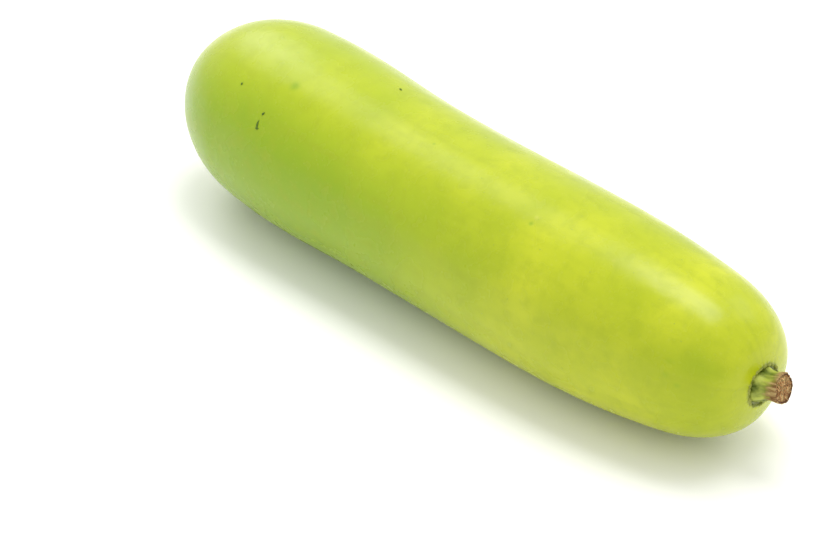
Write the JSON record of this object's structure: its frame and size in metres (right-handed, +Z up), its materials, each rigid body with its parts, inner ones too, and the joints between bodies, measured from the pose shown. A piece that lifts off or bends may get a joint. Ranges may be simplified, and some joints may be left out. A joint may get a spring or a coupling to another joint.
{
  "type": "bottle gourd",
  "caption": "Long, gently waisted bottle gourd with a waxy yellow-green rind and a short ridged stub of cut stem, lying on its side.",
  "frame": {"origin": "on the surface that the gourd lies on, under the middle of its box", "axes": "+X runs along the fruit from the blossom end to the stem, +Y is sideways, away from the middle's slight bow, +Z is up"},
  "size_m": [0.3388, 0.0854, 0.0845],
  "materials": {
    "rind": "satin",
    "stalk": "matte"
  },
  "bodies": {
    "root": {"fruit": "rind", "stem": "stalk"}
  },
  "joints": []
}
